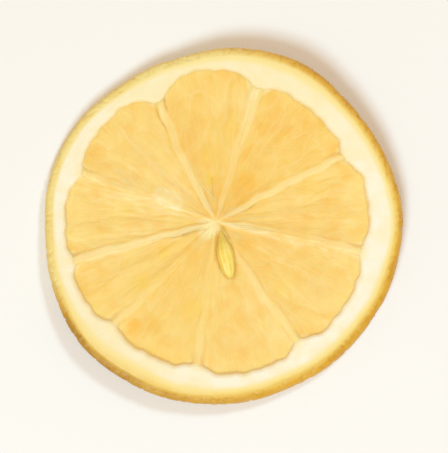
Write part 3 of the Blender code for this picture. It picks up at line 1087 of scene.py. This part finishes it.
fibres = {
    "number": 26,
    "steps": 22,
    "length": (1.8 * mm, 6.0 * mm),
    "start": (1.2 * mm, 3.0 * mm),
    "thickness": 0.05 * mm,
    "tip": 0.1,  # thickness left at its ends, as a share
    "sides": 7,
    "wander": 0.25 * mm,  # sideways, of a thread of this length
    "wanderLength": 4 * mm,
    "wanderLobes": (1, 2, 3, 4),
    "unevenSpacing": 0.35,
    "turning": 0.10,  # radians between a thread's two ends, at most
    "girth": (0.5, 1.1),  # thickness, as a share of the usual one
    "placed": (  # those that stand out: from x, y to x, y, in mm from the core, and their girth
        (2.2, -0.1, 8.3, -1.5, 1.9),
        (-14.8, 7.7, -11.6, 4.9, 1.6),
        (0.4, 1.8, -4.4, 9.6, 1.2),
        (-1.8, -0.4, -9.4, -2.9, 1.2),
    ),
    "castHeight": 2 * mm,  # above the flesh, from where they are laid on it
    "drawSeed": 5,
}


def locate(x, y):
    # segment, place across it and radius of points of the plan
    radius, angle = np.hypot(x, y), np.arctan2(y, x)
    first = septumAngle(np.zeros(1, int), radius)
    turn = (angle - first) % math.tau
    segment = np.zeros(radius.shape, int)
    for number in range(1, count):
        segment[turn >= septumAngle(np.full(1, number), radius) - first] = number
    start, span = segmentSpan(segment, radius)
    return segment, ((angle - start) % math.tau) / span, radius


def fibrePath(start, end, draw, surface):
    # a wandering line between two points of the plan, laid on the finished flesh
    share = np.linspace(0, 1, fibres["steps"])
    x, y = blend(start[0], end[0], share), blend(start[1], end[1], share)
    dx, dy = end[0] - start[0], end[1] - start[1]
    length = math.hypot(dx, dy)
    lobesOf = fibres["wanderLobes"]
    sway = sum(draw.uniform(-1, 1) * np.sin(math.pi * lobes * share) / lobes for lobes in lobesOf)
    sway = sway * fibres["wander"] * length / fibres["wanderLength"]
    at = onFace(topFace, *locate(x - dy / length * sway, y + dx / length * sway))
    path = place(at["x"], at["y"], form["halfThickness"] - pulpSink(at))
    above, down = Vector((0, 0, fibres["castHeight"])), Vector((0, 0, -1))
    for spot in path:
        spot[2] = surface.ray_cast(Vector(spot) + above, down)[0].z
    return path


def makeFibres(material, tree):
    draw = random.Random(fibres["drawSeed"])
    flesh = bpy.data.objects["flesh_and_membranes"]
    surface = BVHTree.FromObject(flesh, bpy.context.evaluated_depsgraph_get())
    routes = [((x * mm, y * mm), (toX * mm, toY * mm), girth) for x, y, toX, toY, girth in fibres["placed"]]
    spacing, turning = fibres["unevenSpacing"], fibres["turning"]
    for number in range(fibres["number"]):
        near = math.tau * (number + draw.uniform(-spacing, spacing)) / fibres["number"]
        inner = draw.uniform(*fibres["start"])
        outer = inner + draw.uniform(*fibres["length"])
        far = near + draw.uniform(-turning, turning)
        start = (inner * math.cos(near), inner * math.sin(near))
        end = (outer * math.cos(far), outer * math.sin(far))
        routes.append((start, end, draw.uniform(*fibres["girth"])))
    steps = fibres["steps"]
    points = [fibrePath(start, end, draw, surface) for start, end, _ in routes]
    firsts = [route * steps + step for route in range(len(routes)) for step in range(steps - 1)]
    edges = [(first, first + 1) for first in firsts]
    girths = np.repeat([girth for _, _, girth in routes], steps)
    item = meshObject("core_fibres", np.concatenate(points), edges, [], {"girth": girths})
    return applyTree(item, tree, fibres, material)


def fibreTree():
    # threads along the given lines, thin at both ends
    tree, given, result = newGeometryTree("Fibres", fibres, ("Thickness", "Sides"))
    curves = addNode(tree, "GeometryNodeMeshToCurve", {"Mesh": given["Geometry"]}).outputs[0]
    along = addNode(tree, "GeometryNodeSplineParameter").outputs["Factor"]
    taper = calc(tree, "POWER", calc(tree, "SINE", times(tree, along, math.pi)), 0.5)
    size = plus(tree, times(tree, taper, 1 - fibres["tip"]), fibres["tip"])
    size = times(tree, size, readNamed(tree, "girth"), given["Thickness"])
    circle = addNode(tree, "GeometryNodeCurvePrimitiveCircle", {"Resolution": given["Sides"], "Radius": 1.0})
    inputs = {"Curve": curves, "Profile Curve": circle.outputs[0], "Scale": size, "Fill Caps": True}
    tube = addNode(tree, "GeometryNodeCurveToMesh", inputs).outputs[0]
    return endTree(tree, tube, given, result)


# Materials

def linear(red, green, blue):
    # a colour as it is seen, 0 to 255, in the values that shaders use
    def channel(value):
        value = value / 255
        return value / 12.92 if value <= 0.04045 else ((value + 0.055) / 1.055) ** 2.4

    return (channel(red), channel(green), channel(blue), 1.0)


def objectSpot(tree):
    return addNode(tree, "ShaderNodeTexCoord").outputs["Object"]


def readAttribute(tree, name, output="Fac"):
    return addNode(tree, "ShaderNodeAttribute", attribute_name=name).outputs[output]


mottleLimits = (0.35, 0.68)  # values of the noise between which the patches come in


def mottleGroup():
    # soft patches of another colour
    tree, given, result = newTree("Mottle", "ShaderNodeTree", {
        "Colour": ("Color", None),
        "Other": ("Color", None),
        "Scale": ("Float", 400.0),
        "Amount": ("Float", 0.3),
    }, {"Colour": ("Color", None)})
    share = remap(tree, noiseAt(tree, objectSpot(tree), given["Scale"], 4.0), *mottleLimits)
    colour = mixColour(tree, times(tree, share, given["Amount"]), given["Colour"], given["Other"])
    tree.links.new(colour, result["Colour"])
    return tree


# the skin's pale and brown colours here are painted light and painted shade
peelColours = ("Skin", "Skin Pale", "Skin Brown", "Under Skin", "Under Pale", "Inner", "Pith")
peelLayers = ((0.22, 0.46), (0.40, 0.72), (0.66, 1.08))  # where each next colour comes in, by share of depth


def peelGroup():
    # colour of the peel at a depth below its outer surface: skin, yellow layer, pith; the skin and the layer
    # under it are paler where light is painted on, and the skin is browner where shade is painted on
    inputs = {label: ("Color", None) for label in peelColours}
    inputs.update({"Scale": ("Float", 420.0), "Unevenness": ("Float", 0.16)})
    tree, given, result = newTree("Peel depth", "ShaderNodeTree", inputs, {"Colour": ("Color", None)})
    noise = noiseAt(tree, objectSpot(tree), given["Scale"], 3.0)
    shift = times(tree, minus(tree, noise, 0.5), given["Unevenness"])
    share = plus(tree, readAttribute(tree, "peelShare"), shift)
    # painted light makes the skin and the layer under it paler, painted shade makes the skin browner
    pale = readAttribute(tree, "peelPale")
    skin = mixColour(tree, pale, given["Skin"], given["Skin Pale"])
    skin = mixColour(tree, readAttribute(tree, "peelBrown"), skin, given["Skin Brown"])
    under = mixColour(tree, pale, given["Under Skin"], given["Under Pale"])
    colour = skin
    for (start, end), layer in zip(peelLayers, (under, given["Inner"], given["Pith"])):
        colour = mixColour(tree, remap(tree, share, start, end), colour, layer)
    tree.links.new(colour, result["Colour"])
    return tree


coarseRate = 0.27  # of the fine grain's scale


def grainGroup():
    # fine height for a Bump node: two sizes of noise
    tree, given, result = newTree("Fine grain", "ShaderNodeTree", {
        "Vector": ("Vector", None),
        "Scale": ("Float", 3000.0),
        "Coarse": ("Float", 0.6),
    }, {"Height": ("Float", None)})
    fine = noiseAt(tree, given["Vector"], given["Scale"], 5.0)
    coarse = noiseAt(tree, given["Vector"], times(tree, given["Scale"], coarseRate), 3.0)
    tree.links.new(plus(tree, fine, times(tree, coarse, given["Coarse"])), result["Height"])
    return tree


def sacGroup():
    # the juice sacs' borders, a tone for each sac, and streaks along them
    tree, given, result = newTree("Juice sacs", "ShaderNodeTree", {
        "Vector": ("Vector", None),
        "Waviness": ("Float", 0.5),
    }, {"Border": ("Float", None), "Tone": ("Float", None), "Streaks": ("Float", None)})
    _, colour, border, moved = sacPattern(tree, given["Vector"], given["Waviness"])
    tone = addNode(tree, "ShaderNodeSeparateColor", {0: colour}).outputs[0]
    streaks = noiseAt(tree, vectorCalc(tree, "MULTIPLY", moved, fleshLook["streakStretch"]), 1.0, 4.0)
    tree.links.new(remap(tree, border, *fleshLook["borderFade"]), result["Border"])
    tree.links.new(tone, result["Tone"])
    tree.links.new(streaks, result["Streaks"])
    return tree


def useGroup(tree, group, inputs):
    return addNode(tree, "ShaderNodeGroup", inputs, node_tree=group).outputs


def mottle(tree, groups, colour, other, scale, amount):
    inputs = {"Colour": colour, "Other": other, "Scale": scale, "Amount": amount}
    return useGroup(tree, groups["mottle"], inputs)["Colour"]


def tint(tree, colour, other, amount, *masks):
    # mixes in another colour by an amount, where the masks show it
    return mixColour(tree, times(tree, *masks, amount), colour, other)


refraction = 1.42


def newMaterial(name, roughness, subsurface, radius, scale):
    # the subsurface values make the dried fruit glow a little
    material = bpy.data.materials.new(name)
    material.use_nodes = True
    shader = material.node_tree.nodes["Principled BSDF"]
    shader.inputs["Roughness"].default_value = roughness
    shader.inputs["Subsurface Weight"].default_value = subsurface
    shader.inputs["Subsurface Radius"].default_value = radius
    shader.inputs["Subsurface Scale"].default_value = scale
    shader.inputs["IOR"].default_value = refraction
    return material, material.node_tree, shader


def bump(tree, shader, height, strength, distance):
    node = addNode(tree, "ShaderNodeBump", {"Height": height, "Strength": strength, "Distance": distance})
    tree.links.new(node.outputs[0], shader.inputs["Normal"])


def finish(tree, shader, groups, colour, grain):
    # gives the shader its colour and its fine grain
    tree.links.new(colour, shader.inputs["Base Color"])
    scale, coarse, strength, distance = grain
    inputs = {"Vector": objectSpot(tree), "Scale": scale, "Coarse": coarse}
    bump(tree, shader, useGroup(tree, groups["grain"], inputs)["Height"], strength, distance)


fleshLook = {
    "golden": linear(251, 204, 97),
    "pale": linear(254, 221, 136),
    "deep": linear(246, 190, 76),
    "orange": linear(254, 190, 64),
    "sunny": linear(250, 210, 74),
    "web": linear(255, 233, 172),
    "cream": linear(255, 232, 172),
    # colour of the line at the pith, partly the flesh's own and partly painted shade
    "edge": linear(232, 184, 96),
    # colour of the brown lines beside membranes, and of the painted shade in folds and round the seed
    "shade": linear(200, 156, 56),
    "body": (0.40, 0.45, (1.0, 0.55, 0.2), 0.9 * mm),  # roughness, subsurface weight, radius and scale
    "gloss": (0.3, 0.7, 0.30, 0.55),  # values of the streaks' noise, and the roughness at them
    "sacTone": 0.40,
    "mottles": (("deep", 210.0, 0.50), ("pale", 480.0, 0.42)),  # colour, scale, amount
    "towardsCore": 0.55,
    "streaks": (  # colour, between which values of the streaks' noise it comes in, amount
        ("web", (0.42, 0.75), 0.12),
        ("deep", (0.28, 0.46, 1.0, 0.0), 0.10),
    ),
    "streakStretch": (6.5, 0.8, 1.0),  # across and along the sacs
    "borderFade": (0.0, 0.07, 1.0, 0.0),  # distances from a sac's border, and its strength there
    "sacBorders": 0.15,
    "fray": (0.28, 0.62, 0.4, 1.0),  # a finer noise that breaks up the spots and the dark lines
    "webFray": (0.10, 0.55, 0.72, 1.0),  # and the membranes' colour
    "frayScale": 800.0,
    "spots": (  # attribute, colour, amount
        ("sunny", "sunny", 0.65),
        ("warm", "orange", 0.75),
        ("pale", "cream", 0.85),
        # the line at the pith: partly the flesh's own colour, partly painted shade of the step
        ("edge", "edge", 0.22),
    ),
    "grainStretch": (5.0, 1.6, 1.0),  # across and along the sacs
    "grain": (3.0, 1.1, 0.5, 0.07 * mm),  # scale, share of coarse grain, strength and depth
}
fibreLook = {
    "body": (0.55, 0.3, (1.0, 0.8, 0.4), 0.3 * mm),
    "mottle": (700.0, 0.6),
    "grain": (6000.0, 1.0, 0.3, 0.02 * mm),
}
peelLook = {
    "skin": linear(224, 171, 48),
    # the next two are the skin's colour with painted light and with painted shade; two lines down, the layer
    # under the skin has a colour with painted light
    "skinPale": linear(238, 216, 138),
    "skinBrown": linear(172, 122, 18),
    "underSkin": linear(240, 198, 88),
    "underPale": linear(240, 221, 146),
    "inner": linear(251, 226, 142),
    "pith": linear(253, 245, 222),
    "pithYellow": linear(250, 229, 160),
    "web": linear(255, 233, 172),
    "pore": linear(200, 142, 40),
    "poreFaintest": 0.22,  # share of the pores' colour where the skin has its strongest painted light
    "pores": (("gland", 0.45), ("crease", 0.30)),
    "pithBody": (0.74, 0.15, (1.0, 0.8, 0.45), 0.35 * mm),  # as for the flesh
    "pithMottle": (360.0, 0.38),  # scale, amount
    "pithGrain": (3200.0, 1.2, 0.5, 0.07 * mm),
    "yellowed": 0.55,
    "lip": (-0.35, 0.35, 0.6, 0.0),  # mm outwards from its inner edge, and the membranes' colour there
    "membraneEnds": (0.2, 1.6, 0.7, 0.0),  # the same where a membrane runs into it
    "rindBody": (0.44, 0.12, (1.0, 0.6, 0.2), 0.4 * mm),
    "rindMottle": (300.0, 0.3),
    "rindGrain": (2600.0, 1.2, 0.45, 0.06 * mm),
}
seedLook = {
    "coat": linear(246, 215, 92),
    "pale": linear(252, 230, 130),
    # also used as painted shade on the seed's low flanks
    "groove": linear(206, 164, 52),
    "ribs": (-0.2, 1.0),  # heights of a rib between which it pales
    "flanks": (0.05, 0.55, 0.5, 0.0),  # shares of its height, and the grooves' colour there, as painted shade on its low flanks where it sits in the flesh
    "tip": (-0.2, 1.0, 0.0, 0.6),  # the same along it, towards the point
    "body": (0.38, 0.2, (1.0, 0.7, 0.3), 0.6 * mm),
    "mottle": (900.0, 0.5),
    "grain": (2200.0, 1.0, 0.35, 0.05 * mm),
}


def fleshMaterial(groups):
    look = fleshLook
    material, tree, shader = newMaterial("Dried flesh", *look["body"])
    spot = readAttribute(tree, "sacPlace", "Vector")
    free = readAttribute(tree, "sacFree")
    toCore = readAttribute(tree, "toCore")
    sacs = useGroup(tree, groups["sacs"], {"Vector": spot, "Waviness": pulp["waviness"]})
    colour = mixColour(tree, readAttribute(tree, "tone"), look["pale"], look["golden"])
    colour = tint(tree, colour, look["pale"], look["sacTone"], sacs["Tone"])
    for other, scale, amount in look["mottles"]:
        colour = mottle(tree, groups, colour, look[other], scale, amount)
    colour = tint(tree, colour, look["deep"], look["towardsCore"], toCore)
    for other, limits, amount in look["streaks"]:
        streaks = remap(tree, sacs["Streaks"], *limits)
        colour = tint(tree, colour, look[other], amount, streaks, free)
    colour = tint(tree, colour, look["web"], look["sacBorders"], sacs["Border"], free)
    fine = noiseAt(tree, objectSpot(tree), look["frayScale"], 3.0)
    ragged = remap(tree, fine, *look["fray"])
    for mask, other, amount in look["spots"]:
        colour = tint(tree, colour, look[other], amount, readAttribute(tree, mask), ragged)
    uneven = remap(tree, fine, *look["webFray"])
    colour = tint(tree, colour, look["web"], uneven, readAttribute(tree, "web"))
    # brown lines, and painted shade in folds and round the seed
    colour = tint(tree, colour, look["shade"], ragged, readAttribute(tree, "shade"))
    tree.links.new(colour, shader.inputs["Base Color"])
    rough = remap(tree, sacs["Streaks"], *look["gloss"])
    tree.links.new(rough, shader.inputs["Roughness"])
    scale, coarse, strength, distance = look["grain"]
    stretched = vectorCalc(tree, "MULTIPLY", spot, look["grainStretch"])
    inputs = {"Vector": stretched, "Scale": scale, "Coarse": coarse}
    height = useGroup(tree, groups["grain"], inputs)["Height"]
    bump(tree, shader, times(tree, height, free, minus(tree, 1.0, toCore)), strength, distance)
    return material


def peelColour(tree, groups):
    colours = {label: peelLook[keyOf(label)] for label in peelColours}
    return useGroup(tree, groups["peel"], colours)["Colour"]


def pithMaterial(groups):
    look = peelLook
    material, tree, shader = newMaterial("Dried pith", *look["pithBody"])
    colour = peelColour(tree, groups)
    colour = tint(tree, colour, look["pithYellow"], look["yellowed"], readAttribute(tree, "yellowing"))
    colour = mottle(tree, groups, colour, look["pithYellow"], *look["pithMottle"])
    fromEdge = times(tree, readAttribute(tree, "fromEdge"), 1 / mm)
    colour = mixColour(tree, remap(tree, fromEdge, *look["lip"]), colour, look["web"])
    inwards = remap(tree, fromEdge, *look["membraneEnds"])
    colour = tint(tree, colour, look["web"], inwards, readAttribute(tree, "nearSeptum"))
    finish(tree, shader, groups, colour, look["pithGrain"])
    return material


def rindMaterial(groups):
    look = peelLook
    material, tree, shader = newMaterial("Dried rind", *look["rindBody"])
    colour = peelColour(tree, groups)
    # the pores show less where the skin has painted light
    fainter = remap(tree, readAttribute(tree, "peelPale"), 0.0, 1.0, 1.0, look["poreFaintest"])
    skin = times(tree, readAttribute(tree, "skin"), fainter)
    for mask, amount in look["pores"]:
        colour = tint(tree, colour, look["pore"], amount, readAttribute(tree, mask), skin)
    colour = mottle(tree, groups, colour, look["underSkin"], *look["rindMottle"])
    finish(tree, shader, groups, colour, look["rindGrain"])
    return material


def seedMaterial(groups):
    look = seedLook
    material, tree, shader = newMaterial("Seed coat", *look["body"])
    ribs = remap(tree, readAttribute(tree, "ribLine"), *look["ribs"])
    colour = mixColour(tree, ribs, look["coat"], look["pale"])
    # painted shade on the low flanks, then the darker colour towards the point
    for mask, limits in (("seedUp", look["flanks"]), ("seedAlong", look["tip"])):
        colour = mixColour(tree, remap(tree, readAttribute(tree, mask), *limits), colour, look["groove"])
    colour = mottle(tree, groups, colour, look["pale"], *look["mottle"])
    finish(tree, shader, groups, colour, look["grain"])
    return material


def fibreMaterial(groups):
    look = fibreLook
    material, tree, shader = newMaterial("Dried fibre", *look["body"])
    colour = mottle(tree, groups, fleshLook["web"], fleshLook["golden"], *look["mottle"])
    finish(tree, shader, groups, colour, look["grain"])
    return material


# Stage: floor, light and camera

stage = {
    "floorHalfWidth": 0.6,
    "floorColour": linear(248, 246, 242),
    "floorBody": (0.65, 0.0, (1.0, 1.0, 1.0), mm),  # as for the flesh
    "skyColour": (0.59, 0.37, 0.17, 1.0),
    "seenSky": linear(250, 246, 240),
    "lightColour": (0.56, 0.81, 1.0),
    "lights": (  # name, power, size, place
        ("Key light", 2.20, 0.26, (-0.10, -0.287, 0.48)),
        ("Second light", 0.86, 0.10, (0.18, 0.23, 0.46)),
    ),
    "cameraElevation": 89.0,
    "cameraDistance": 0.5,
    "cameraNear": 0.01,
    "sensorWidth": 36.0,  # mm
    "seenWidth": 65.4 * mm,
}


def makeFloor():
    half = stage["floorHalfWidth"]
    points = np.array([(-half, -half, 0), (half, -half, 0), (half, half, 0), (-half, half, 0)])
    item = meshObject("floor", points, [], [[0, 1, 2, 3]], {})
    material, _, shader = newMaterial("Pale floor", *stage["floorBody"])
    shader.inputs["Base Color"].default_value = stage["floorColour"]
    item.data.materials.append(material)


def makeLight(name, power, size, spot):
    light = bpy.data.lights.new(name, "AREA")
    light.shape = "DISK"
    light.size = size
    light.energy = power
    light.color = stage["lightColour"]
    item = bpy.data.objects.new(name, light)
    bpy.context.scene.collection.objects.link(item)
    item.location = spot
    item.rotation_euler = (-item.location).to_track_quat("-Z", "Y").to_euler()


def makeWorld():
    # warm light from all round, and a plain pale colour where the camera sees past the floor
    world = bpy.data.worlds.new("Studio")
    world.use_nodes = True
    tree = world.node_tree
    lit = tree.nodes["Background"]
    lit.inputs["Color"].default_value = stage["skyColour"]
    seen = addNode(tree, "ShaderNodeBackground", {"Color": stage["seenSky"], "Strength": 1.0})
    path = addNode(tree, "ShaderNodeLightPath")
    inputs = {0: path.outputs["Is Camera Ray"], 1: lit.outputs[0], 2: seen.outputs[0]}
    both = addNode(tree, "ShaderNodeMixShader", inputs)
    tree.links.new(both.outputs[0], tree.nodes["World Output"].inputs["Surface"])
    bpy.context.scene.world = world


def makeCamera():
    camera = bpy.data.cameras.new("Camera")
    camera.sensor_width = stage["sensorWidth"]
    camera.sensor_fit = "HORIZONTAL"
    distance = stage["cameraDistance"]
    camera.lens = camera.sensor_width * distance / stage["seenWidth"]
    camera.clip_start = stage["cameraNear"]
    item = bpy.data.objects.new("Camera", camera)
    bpy.context.scene.collection.objects.link(item)
    tilt = math.radians(90 - stage["cameraElevation"])
    item.location = (0, -distance * math.sin(tilt), distance * math.cos(tilt))
    item.rotation_euler = (tilt, 0, 0)
    bpy.context.scene.camera = item


def makeStage():
    makeFloor()
    for light in stage["lights"]:
        makeLight(*light)
    makeWorld()
    makeCamera()
    view = bpy.context.scene.view_settings
    view.view_transform = "Standard"
    view.look = "None"


def main():
    groups = {"mottle": mottleGroup(), "peel": peelGroup(), "grain": grainGroup(), "sacs": sacGroup()}
    pieces = []
    for label, make, material, tree in (
        ("pulp", makePulp, fleshMaterial, juiceSacTree),
        ("pith", makePith, pithMaterial, spongeTree),
        ("rind", makeRind, rindMaterial, oilGlandTree),
        ("seed", makeSeed, seedMaterial, seedTree),
        ("fibres", makeFibres, fibreMaterial, fibreTree),
    ):
        piece = make(material(groups), tree())
        pieces.append(piece)
        print(label, "made:", sum(len(face.vertices) - 2 for face in piece.data.polygons), "triangles")
    for piece in pieces:
        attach(piece, "root")
        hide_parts(solid)
    makeStage()
    print("stage set")


main()
